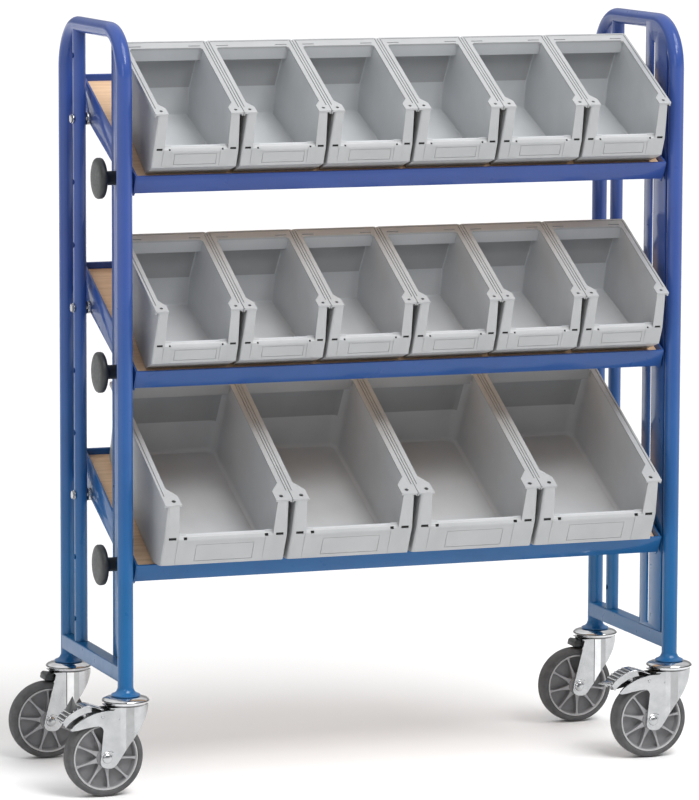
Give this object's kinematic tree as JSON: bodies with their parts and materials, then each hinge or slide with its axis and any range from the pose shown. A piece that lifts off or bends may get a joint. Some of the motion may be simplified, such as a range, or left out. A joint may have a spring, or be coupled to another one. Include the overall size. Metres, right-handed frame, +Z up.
{
  "type": "mobile bin cart",
  "caption": "Wheeled steel cart with tilting shelves of open-front plastic storage bins between two bent tube side frames on swivel casters.",
  "frame": {"origin": "on the floor under the middle of the whole cart's box", "axes": "+X to the right seen from the open front of the bins, +Y to the rear, +Z up"},
  "size_m": [1.1028, 0.435, 1.239],
  "materials": {
    "blue_powder_coat": "semi-gloss blue powder coat",
    "wood_board": "plain board, light sealed face",
    "grey_bin_plastic": "fine-textured moulded plastic",
    "bright_zinc": "bright zinc plating",
    "black_plastic": "moulded black plastic",
    "grey_tyre": "matt grey rubber"
  },
  "bodies": {
    "cart_base": {"side_frame_left": "blue_powder_coat", "side_frame_right": "blue_powder_coat", "guide_tube_left": "blue_powder_coat", "guide_tube_right": "blue_powder_coat", "slot_plate_left": "blue_powder_coat", "slot_plate_right": "blue_powder_coat", "pivot_bolt_top_left": "bright_zinc", "pivot_bolt_top_right": "bright_zinc", "pivot_bolt_middle_left": "bright_zinc", "pivot_bolt_middle_right": "bright_zinc", "pivot_bolt_bottom_left": "bright_zinc", "pivot_bolt_bottom_right": "bright_zinc", "caster_head_front_left": "bright_zinc", "caster_head_front_right": "bright_zinc", "caster_head_rear_left": "bright_zinc", "caster_head_rear_right": "bright_zinc"},
    "shelf_top": {"shelf_frame_top": "blue_powder_coat", "shelf_board_top": "wood_board"},
    "clamp_bolt_top_left": {"clamp_bolt_top_left": "bright_zinc"},
    "clamp_knob_top_left": {"clamp_knob_top_left": "black_plastic"},
    "clamp_bolt_top_right": {"clamp_bolt_top_right": "bright_zinc"},
    "clamp_knob_top_right": {"clamp_knob_top_right": "black_plastic"},
    "shelf_middle": {"shelf_frame_middle": "blue_powder_coat", "shelf_board_middle": "wood_board"},
    "clamp_bolt_middle_left": {"clamp_bolt_middle_left": "bright_zinc"},
    "clamp_knob_middle_left": {"clamp_knob_middle_left": "black_plastic"},
    "clamp_bolt_middle_right": {"clamp_bolt_middle_right": "bright_zinc"},
    "clamp_knob_middle_right": {"clamp_knob_middle_right": "black_plastic"},
    "shelf_bottom": {"shelf_frame_bottom": "blue_powder_coat", "shelf_board_bottom": "wood_board"},
    "clamp_bolt_bottom_left": {"clamp_bolt_bottom_left": "bright_zinc"},
    "clamp_knob_bottom_left": {"clamp_knob_bottom_left": "black_plastic"},
    "clamp_bolt_bottom_right": {"clamp_bolt_bottom_right": "bright_zinc"},
    "clamp_knob_bottom_right": {"clamp_knob_bottom_right": "black_plastic"},
    "small_bin_top_1": {"small_bin_top_1": "grey_bin_plastic"},
    "small_bin_top_2": {"small_bin_top_2": "grey_bin_plastic"},
    "small_bin_top_3": {"small_bin_top_3": "grey_bin_plastic"},
    "small_bin_top_4": {"small_bin_top_4": "grey_bin_plastic"},
    "small_bin_top_5": {"small_bin_top_5": "grey_bin_plastic"},
    "small_bin_top_6": {"small_bin_top_6": "grey_bin_plastic"},
    "small_bin_middle_1": {"small_bin_middle_1": "grey_bin_plastic"},
    "small_bin_middle_2": {"small_bin_middle_2": "grey_bin_plastic"},
    "small_bin_middle_3": {"small_bin_middle_3": "grey_bin_plastic"},
    "small_bin_middle_4": {"small_bin_middle_4": "grey_bin_plastic"},
    "small_bin_middle_5": {"small_bin_middle_5": "grey_bin_plastic"},
    "small_bin_middle_6": {"small_bin_middle_6": "grey_bin_plastic"},
    "large_bin_bottom_1": {"large_bin_bottom_1": "grey_bin_plastic"},
    "large_bin_bottom_2": {"large_bin_bottom_2": "grey_bin_plastic"},
    "large_bin_bottom_3": {"large_bin_bottom_3": "grey_bin_plastic"},
    "large_bin_bottom_4": {"large_bin_bottom_4": "grey_bin_plastic"},
    "caster_front_left": {"caster_fork_front_left": "bright_zinc"},
    "wheel_front_left": {"wheel_front_left": "grey_tyre"},
    "pedal_front_left": {"brake_pedal_front_left": "bright_zinc"},
    "caster_front_right": {"caster_fork_front_right": "bright_zinc"},
    "wheel_front_right": {"wheel_front_right": "grey_tyre"},
    "pedal_front_right": {"brake_pedal_front_right": "bright_zinc"},
    "caster_rear_left": {"caster_fork_rear_left": "bright_zinc"},
    "wheel_rear_left": {"wheel_rear_left": "grey_tyre"},
    "caster_rear_right": {"caster_fork_rear_right": "bright_zinc"},
    "wheel_rear_right": {"wheel_rear_right": "grey_tyre"}
  },
  "joints": [
    {"name": "tilt_top", "type": "hinge", "parent": "cart_base", "child": "shelf_top", "pos_m": [0.03637, 0.1056, 1.0721], "axis": [-1, 0, 0], "range_deg": [0, 26.4]},
    {"name": "clamp_travel_top_left", "type": "slide", "parent": "cart_base", "child": "clamp_bolt_top_left", "axis": [0, 0, 1], "range_m": [0, 0.08983]},
    {"name": "knob_turn_top_left", "type": "hinge", "parent": "clamp_bolt_top_left", "child": "clamp_knob_top_left", "pos_m": [-0.44283, -0.0749, 0.98987], "axis": [1, 0, 0], "continuous": true},
    {"name": "clamp_travel_top_right", "type": "slide", "parent": "cart_base", "child": "clamp_bolt_top_right", "axis": [0, 0, 1], "range_m": [0, 0.08983]},
    {"name": "knob_turn_top_right", "type": "hinge", "parent": "clamp_bolt_top_right", "child": "clamp_knob_top_right", "pos_m": [0.51557, -0.0749, 0.98987], "axis": [1, 0, 0], "continuous": true},
    {"name": "tilt_middle", "type": "hinge", "parent": "cart_base", "child": "shelf_middle", "pos_m": [0.03637, 0.1056, 0.76208], "axis": [-1, 0, 0], "range_deg": [0, 27]},
    {"name": "clamp_travel_middle_left", "type": "slide", "parent": "cart_base", "child": "clamp_bolt_middle_left", "axis": [0, 0, 1], "range_m": [0, 0.09216]},
    {"name": "knob_turn_middle_left", "type": "hinge", "parent": "clamp_bolt_middle_left", "child": "clamp_knob_middle_left", "pos_m": [-0.44283, -0.0749, 0.67752], "axis": [1, 0, 0], "continuous": true},
    {"name": "clamp_travel_middle_right", "type": "slide", "parent": "cart_base", "child": "clamp_bolt_middle_right", "axis": [0, 0, 1], "range_m": [0, 0.09216]},
    {"name": "knob_turn_middle_right", "type": "hinge", "parent": "clamp_bolt_middle_right", "child": "clamp_knob_middle_right", "pos_m": [0.51557, -0.0749, 0.67752], "axis": [1, 0, 0], "continuous": true},
    {"name": "tilt_bottom", "type": "hinge", "parent": "cart_base", "child": "shelf_bottom", "pos_m": [0.03637, 0.1056, 0.45206], "axis": [-1, 0, 0], "range_deg": [0, 27.8]},
    {"name": "clamp_travel_bottom_left", "type": "slide", "parent": "cart_base", "child": "clamp_bolt_bottom_left", "axis": [0, 0, 1], "range_m": [0, 0.09531]},
    {"name": "knob_turn_bottom_left", "type": "hinge", "parent": "clamp_bolt_bottom_left", "child": "clamp_knob_bottom_left", "pos_m": [-0.44283, -0.0749, 0.36435], "axis": [1, 0, 0], "continuous": true},
    {"name": "clamp_travel_bottom_right", "type": "slide", "parent": "cart_base", "child": "clamp_bolt_bottom_right", "axis": [0, 0, 1], "range_m": [0, 0.09531]},
    {"name": "knob_turn_bottom_right", "type": "hinge", "parent": "clamp_bolt_bottom_right", "child": "clamp_knob_bottom_right", "pos_m": [0.51557, -0.0749, 0.36435], "axis": [1, 0, 0], "continuous": true},
    {"name": "lift_small_bin_top_1", "type": "slide", "parent": "shelf_top", "child": "small_bin_top_1", "axis": [0, -0.4446, 0.8957], "range_m": [0, 0.1]},
    {"name": "lift_small_bin_top_2", "type": "slide", "parent": "shelf_top", "child": "small_bin_top_2", "axis": [0, -0.4446, 0.8957], "range_m": [0, 0.1]},
    {"name": "lift_small_bin_top_3", "type": "slide", "parent": "shelf_top", "child": "small_bin_top_3", "axis": [0, -0.4446, 0.8957], "range_m": [0, 0.1]},
    {"name": "lift_small_bin_top_4", "type": "slide", "parent": "shelf_top", "child": "small_bin_top_4", "axis": [0, -0.4446, 0.8957], "range_m": [0, 0.1]},
    {"name": "lift_small_bin_top_5", "type": "slide", "parent": "shelf_top", "child": "small_bin_top_5", "axis": [0, -0.4446, 0.8957], "range_m": [0, 0.1]},
    {"name": "lift_small_bin_top_6", "type": "slide", "parent": "shelf_top", "child": "small_bin_top_6", "axis": [0, -0.4446, 0.8957], "range_m": [0, 0.1]},
    {"name": "lift_small_bin_middle_1", "type": "slide", "parent": "shelf_middle", "child": "small_bin_middle_1", "axis": [0, -0.454, 0.891], "range_m": [0, 0.1]},
    {"name": "lift_small_bin_middle_2", "type": "slide", "parent": "shelf_middle", "child": "small_bin_middle_2", "axis": [0, -0.454, 0.891], "range_m": [0, 0.1]},
    {"name": "lift_small_bin_middle_3", "type": "slide", "parent": "shelf_middle", "child": "small_bin_middle_3", "axis": [0, -0.454, 0.891], "range_m": [0, 0.1]},
    {"name": "lift_small_bin_middle_4", "type": "slide", "parent": "shelf_middle", "child": "small_bin_middle_4", "axis": [0, -0.454, 0.891], "range_m": [0, 0.1]},
    {"name": "lift_small_bin_middle_5", "type": "slide", "parent": "shelf_middle", "child": "small_bin_middle_5", "axis": [0, -0.454, 0.891], "range_m": [0, 0.1]},
    {"name": "lift_small_bin_middle_6", "type": "slide", "parent": "shelf_middle", "child": "small_bin_middle_6", "axis": [0, -0.454, 0.891], "range_m": [0, 0.1]},
    {"name": "lift_large_bin_bottom_1", "type": "slide", "parent": "shelf_bottom", "child": "large_bin_bottom_1", "axis": [0, -0.4664, 0.8846], "range_m": [0, 0.1]},
    {"name": "lift_large_bin_bottom_2", "type": "slide", "parent": "shelf_bottom", "child": "large_bin_bottom_2", "axis": [0, -0.4664, 0.8846], "range_m": [0, 0.1]},
    {"name": "lift_large_bin_bottom_3", "type": "slide", "parent": "shelf_bottom", "child": "large_bin_bottom_3", "axis": [0, -0.4664, 0.8846], "range_m": [0, 0.1]},
    {"name": "lift_large_bin_bottom_4", "type": "slide", "parent": "shelf_bottom", "child": "large_bin_bottom_4", "axis": [0, -0.4664, 0.8846], "range_m": [0, 0.1]},
    {"name": "swivel_front_left", "type": "hinge", "parent": "cart_base", "child": "caster_front_left", "pos_m": [-0.44013, -0.1394, 0.1459], "axis": [0, 0, 1], "continuous": true},
    {"name": "roll_front_left", "type": "hinge", "parent": "caster_front_left", "child": "wheel_front_left", "pos_m": [-0.47813, -0.1394, 0.06425], "axis": [0, 1, 0], "continuous": true},
    {"name": "pedal_press_front_left", "type": "hinge", "parent": "caster_front_left", "child": "pedal_front_left", "pos_m": [-0.50511, -0.1394, 0.13171], "axis": [0, -1, 0], "range_deg": [0, 8]},
    {"name": "swivel_front_right", "type": "hinge", "parent": "cart_base", "child": "caster_front_right", "pos_m": [0.51287, -0.1394, 0.1459], "axis": [0, 0, 1], "continuous": true},
    {"name": "roll_front_right", "type": "hinge", "parent": "caster_front_right", "child": "wheel_front_right", "pos_m": [0.47487, -0.1394, 0.06425], "axis": [0, 1, 0], "continuous": true},
    {"name": "pedal_press_front_right", "type": "hinge", "parent": "caster_front_right", "child": "pedal_front_right", "pos_m": [0.44789, -0.1394, 0.13171], "axis": [0, -1, 0], "range_deg": [0, 8]},
    {"name": "swivel_rear_left", "type": "hinge", "parent": "cart_base", "child": "caster_rear_left", "pos_m": [-0.44013, 0.1796, 0.1459], "axis": [0, 0, 1], "continuous": true},
    {"name": "roll_rear_left", "type": "hinge", "parent": "caster_rear_left", "child": "wheel_rear_left", "pos_m": [-0.47813, 0.1796, 0.06425], "axis": [0, 1, 0], "continuous": true},
    {"name": "swivel_rear_right", "type": "hinge", "parent": "cart_base", "child": "caster_rear_right", "pos_m": [0.51287, 0.1796, 0.1459], "axis": [0, 0, 1], "continuous": true},
    {"name": "roll_rear_right", "type": "hinge", "parent": "caster_rear_right", "child": "wheel_rear_right", "pos_m": [0.47487, 0.1796, 0.06425], "axis": [0, 1, 0], "continuous": true}
  ],
  "couplings": [
    {"joint": "clamp_travel_top_left", "follows": "tilt_top", "m_per_rad": 0.19279},
    {"joint": "clamp_travel_top_right", "follows": "tilt_top", "m_per_rad": 0.19279},
    {"joint": "clamp_travel_middle_left", "follows": "tilt_middle", "m_per_rad": 0.19345},
    {"joint": "clamp_travel_middle_right", "follows": "tilt_middle", "m_per_rad": 0.19345},
    {"joint": "clamp_travel_bottom_left", "follows": "tilt_bottom", "m_per_rad": 0.19436},
    {"joint": "clamp_travel_bottom_right", "follows": "tilt_bottom", "m_per_rad": 0.19436}
  ]
}
